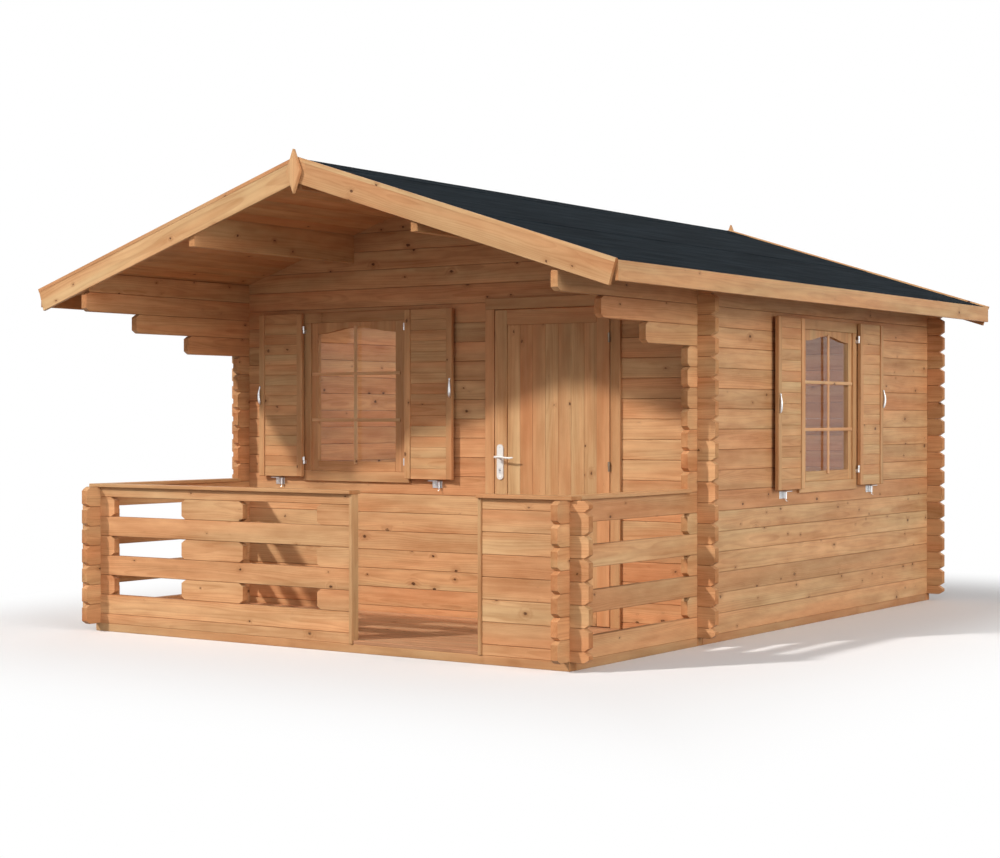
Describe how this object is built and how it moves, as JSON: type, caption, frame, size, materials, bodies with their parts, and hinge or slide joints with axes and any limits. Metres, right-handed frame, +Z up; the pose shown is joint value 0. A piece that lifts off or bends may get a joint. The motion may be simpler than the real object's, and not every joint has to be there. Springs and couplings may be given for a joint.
{
  "type": "log cabin with veranda",
  "caption": "Small garden log cabin with a covered, railed veranda, a hinged door, shuttered windows and a felted gable roof.",
  "frame": {"origin": "on the ground under the middle of the building's outer box", "axes": "+X to the right seen from the veranda, +Y to the back wall, +Z up"},
  "size_m": [3.986, 4.999, 2.687],
  "materials": {
    "log_wood": "sawn and planed pine, clear glazed",
    "trim_wood": "planed pine, clear glazed",
    "deck_wood": "planed pine boards",
    "roof_felt": "mineral surfaced bitumen felt",
    "hardware": "zinc plated steel",
    "handle": "white enamelled handle set",
    "pane": "clear float glass"
  },
  "bodies": {
    "cabin": {"base_bearers": "deck_wood", "base_joists": "deck_wood", "room_floor": "deck_wood", "veranda_floor": "deck_wood", "front_wall": "log_wood", "back_wall": "log_wood", "left_wall": "log_wood", "right_wall": "log_wood", "front_left_rail": "log_wood", "front_right_rail": "log_wood", "side_rail_blocks": "log_wood", "rail_caps": "trim_wood", "entrance_posts": "trim_wood", "roof_purlins": "trim_wood", "left_roof_boards": "trim_wood", "right_roof_boards": "trim_wood", "left_roof_felt": "roof_felt", "right_roof_felt": "roof_felt", "left_barge_boards": "trim_wood", "right_barge_boards": "trim_wood", "barge_strips": "trim_wood", "eave_fascias": "trim_wood", "ridge_finials": "trim_wood", "door_jambs": "trim_wood", "door_head": "trim_wood", "door_sill": "trim_wood", "door_hinge_pins": "hardware", "window_jambs": "trim_wood", "window_rails": "trim_wood", "window_sashes": "trim_wood", "window_glass": "pane", "shutter_hinge_pins": "hardware", "shutter_hold_backs": "hardware"},
    "door": {"door_leaf": "trim_wood", "door_plates": "handle", "door_hinge_eyes": "hardware"},
    "door_lever": {"door_lever": "handle"},
    "front_left_shutter": {"front_left_shutter": "trim_wood", "front_left_shutter_iron": "hardware"},
    "front_right_shutter": {"front_right_shutter": "trim_wood", "front_right_shutter_iron": "hardware"},
    "side_front_shutter": {"side_front_shutter": "trim_wood", "side_front_shutter_iron": "hardware"},
    "side_back_shutter": {"side_back_shutter": "trim_wood", "side_back_shutter_iron": "hardware"}
  },
  "joints": [
    {"name": "door_swing", "type": "hinge", "parent": "cabin", "child": "door", "pos_m": [1.102, -1.07, 0.975], "axis": [0, 0, 1], "range_deg": [0, 120]},
    {"name": "lever_turn", "type": "hinge", "parent": "door", "child": "door_lever", "pos_m": [0.3575, -1.0615, 1.02], "axis": [0, 1, 0], "range_deg": [0, 40], "stiffness_Nm_per_rad": 1.5, "springref_deg": -34.38},
    {"name": "front_left_swing", "type": "hinge", "parent": "cabin", "child": "front_left_shutter", "pos_m": [-1.124, -1.08, 1.392], "axis": [0, 0, 1], "range_deg": [0, 178]},
    {"name": "front_right_swing", "type": "hinge", "parent": "cabin", "child": "front_right_shutter", "pos_m": [-0.335, -1.08, 1.392], "axis": [0, 0, -1], "range_deg": [0, 178]},
    {"name": "side_front_swing", "type": "hinge", "parent": "cabin", "child": "side_front_shutter", "pos_m": [1.6865, 0.212, 1.335], "axis": [0, 0, 1], "range_deg": [0, 178]},
    {"name": "side_back_swing", "type": "hinge", "parent": "cabin", "child": "side_back_shutter", "pos_m": [1.6865, 1.001, 1.335], "axis": [0, 0, -1], "range_deg": [0, 178]}
  ]
}
